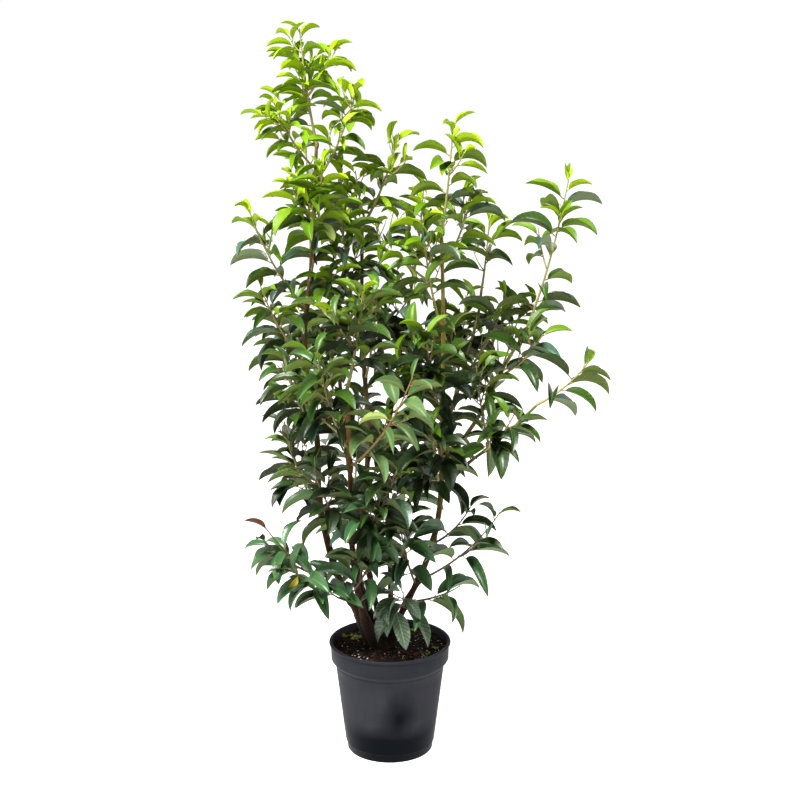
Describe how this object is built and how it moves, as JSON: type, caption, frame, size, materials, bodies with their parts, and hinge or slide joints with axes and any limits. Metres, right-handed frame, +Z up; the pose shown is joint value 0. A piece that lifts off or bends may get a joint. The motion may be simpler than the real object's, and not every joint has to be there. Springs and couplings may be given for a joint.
{
  "type": "potted portugal laurel",
  "caption": "Evergreen garden shrub with several upright leafy stems from one woody stool, growing in a round plastic nursery pot of soil.",
  "frame": {"origin": "centre of the pot's flat underside", "axes": "+Z up along the plant; -Y is the front, which the camera faces; +X to the right from the front"},
  "size_m": [0.6705, 0.609, 1.3182],
  "materials": {
    "pot_plastic": "satin charcoal moulded plastic",
    "soil": "dark fibrous potting compost with bark and white grains",
    "bark": "dark brown finely cracked bark",
    "green_bark": "smooth olive-brown young bark",
    "leaf": "leathery dark green leaf, satin gloss",
    "young_leaf": "fresh lime green leaf, satin gloss"
  },
  "bodies": {
    "root": {"back_left_stem": "bark", "back_left_top_spray": "leaf", "back_left_west_spray": "leaf", "back_low_spray": "leaf", "back_right_east_spray": "leaf", "back_right_low_spray": "leaf", "back_right_stem": "bark", "back_right_top_spray": "leaf", "front_centre_spray": "leaf", "front_left_spray": "leaf", "front_low_left_spray": "leaf", "front_low_right_spray": "leaf", "front_right_spray": "leaf", "front_stem": "bark", "front_top_spray": "leaf", "inner_right_back_spray": "leaf", "inner_right_bough": "green_bark", "inner_right_east_spray": "leaf", "inner_right_spray": "leaf", "left_back_high_spray": "leaf", "left_back_low_spray": "leaf", "left_back_mid_spray": "leaf", "left_front_high_spray": "leaf", "left_stem": "bark", "left_top_east_spray": "young_leaf", "left_top_spray": "young_leaf", "left_top_west_spray": "leaf", "left_west_high_spray": "leaf", "left_west_inner_spray": "leaf", "left_west_low_spray": "leaf", "left_west_mid_spray": "leaf", "low_back_spray": "leaf", "low_front_left_spray": "leaf", "low_front_spray": "leaf", "low_left_spray": "leaf", "low_right_bough": "green_bark", "low_right_bough_front_spray": "leaf", "low_right_bough_spray": "leaf", "low_right_spray": "leaf", "lowest_right_spray": "leaf", "middle_east_spray": "leaf", "middle_front_spray": "leaf", "middle_low_spray": "leaf", "middle_stem": "bark", "middle_top_spray": "leaf", "middle_west_spray": "leaf", "pot": "pot_plastic", "right_bough": "green_bark", "right_bough_back_spray": "leaf", "right_bough_low_spray": "leaf", "right_bough_spray": "leaf", "right_front_low_spray": "leaf", "right_front_spray": "leaf", "right_hollow_spray": "leaf", "right_stem": "bark", "right_top_east_spray": "young_leaf", "right_top_spray": "leaf", "right_west_spray": "leaf", "soil": "soil", "stool": "bark"}
  },
  "joints": []
}
